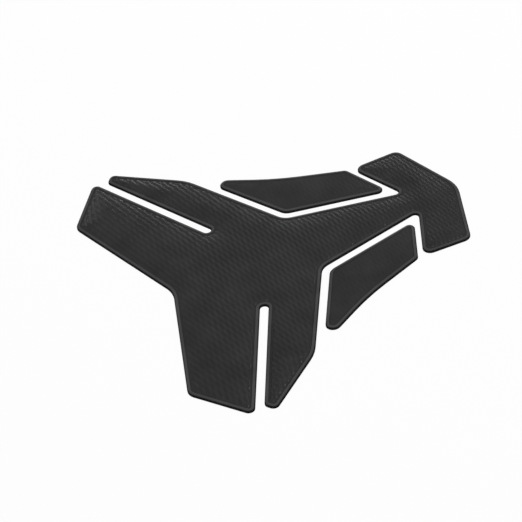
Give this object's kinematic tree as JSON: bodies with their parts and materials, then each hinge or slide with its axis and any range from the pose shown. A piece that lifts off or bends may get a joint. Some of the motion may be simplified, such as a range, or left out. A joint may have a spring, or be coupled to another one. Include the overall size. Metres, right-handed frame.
{
  "type": "motorcycle tank pad",
  "caption": "Flat self-adhesive tank protector: a winged chevron pad with slotted wings and matching side pads, each with a bevelled rim round a slightly crowned field of raised bars.",
  "frame": {"origin": "middle of the whole set in plan, on the plane of the flat adhesive backs", "axes": "+Z out of the textured face, +Y along the pad toward its head, +X across the wings"},
  "size_m": [0.215, 0.1866, 0.002],
  "materials": {
    "rubber": "satin black, moulded"
  },
  "bodies": {
    "root": {"main_pad": "rubber", "left_side_pad": "rubber", "right_side_pad": "rubber"}
  },
  "joints": []
}
